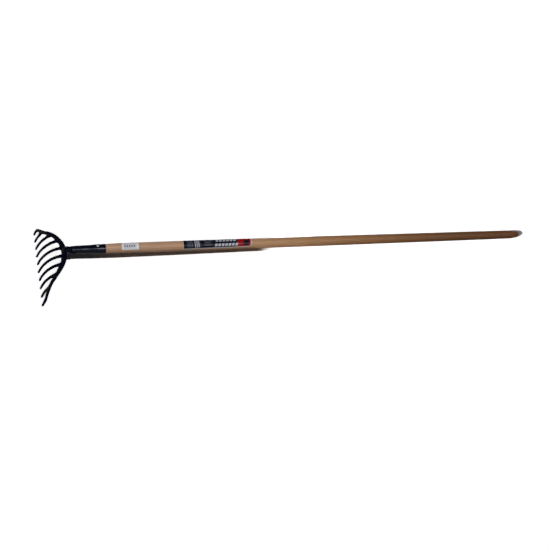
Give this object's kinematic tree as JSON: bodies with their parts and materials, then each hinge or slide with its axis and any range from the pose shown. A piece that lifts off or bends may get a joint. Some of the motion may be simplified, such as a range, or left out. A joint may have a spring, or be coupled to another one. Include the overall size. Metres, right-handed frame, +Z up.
{
  "type": "garden rake",
  "caption": "Long-handled garden rake: a crescent steel head with curved tines, a tapering black socket and a turned wooden handle, lying on its tine tips and butt.",
  "frame": {"origin": "on the floor, at the middle of the bounding box's base; the rake lies as it is put down, on its tine tips and on the butt of its handle", "axes": "+X along the rake from the tine tips to the handle's butt, +Y across the head, +Z up"},
  "size_m": [1.4888, 0.422, 0.0676],
  "materials": {
    "black_enamel": "near-black navy gloss enamel, slightly uneven over the forged steel",
    "bare_steel": "plain bright rivet steel, dulled",
    "ash_wood": "turned hardwood with straight grain under a thin satin varnish",
    "white_label": "white paper sticker with small grey bars",
    "navy_label": "dark navy film sleeve with pale stripes and a red end"
  },
  "bodies": {
    "root": {"tine_head": "black_enamel", "socket": "black_enamel", "neck_weld": "black_enamel", "rivet": "bare_steel", "handle": "ash_wood", "price_label": "white_label", "handle_label": "navy_label"}
  },
  "joints": []
}
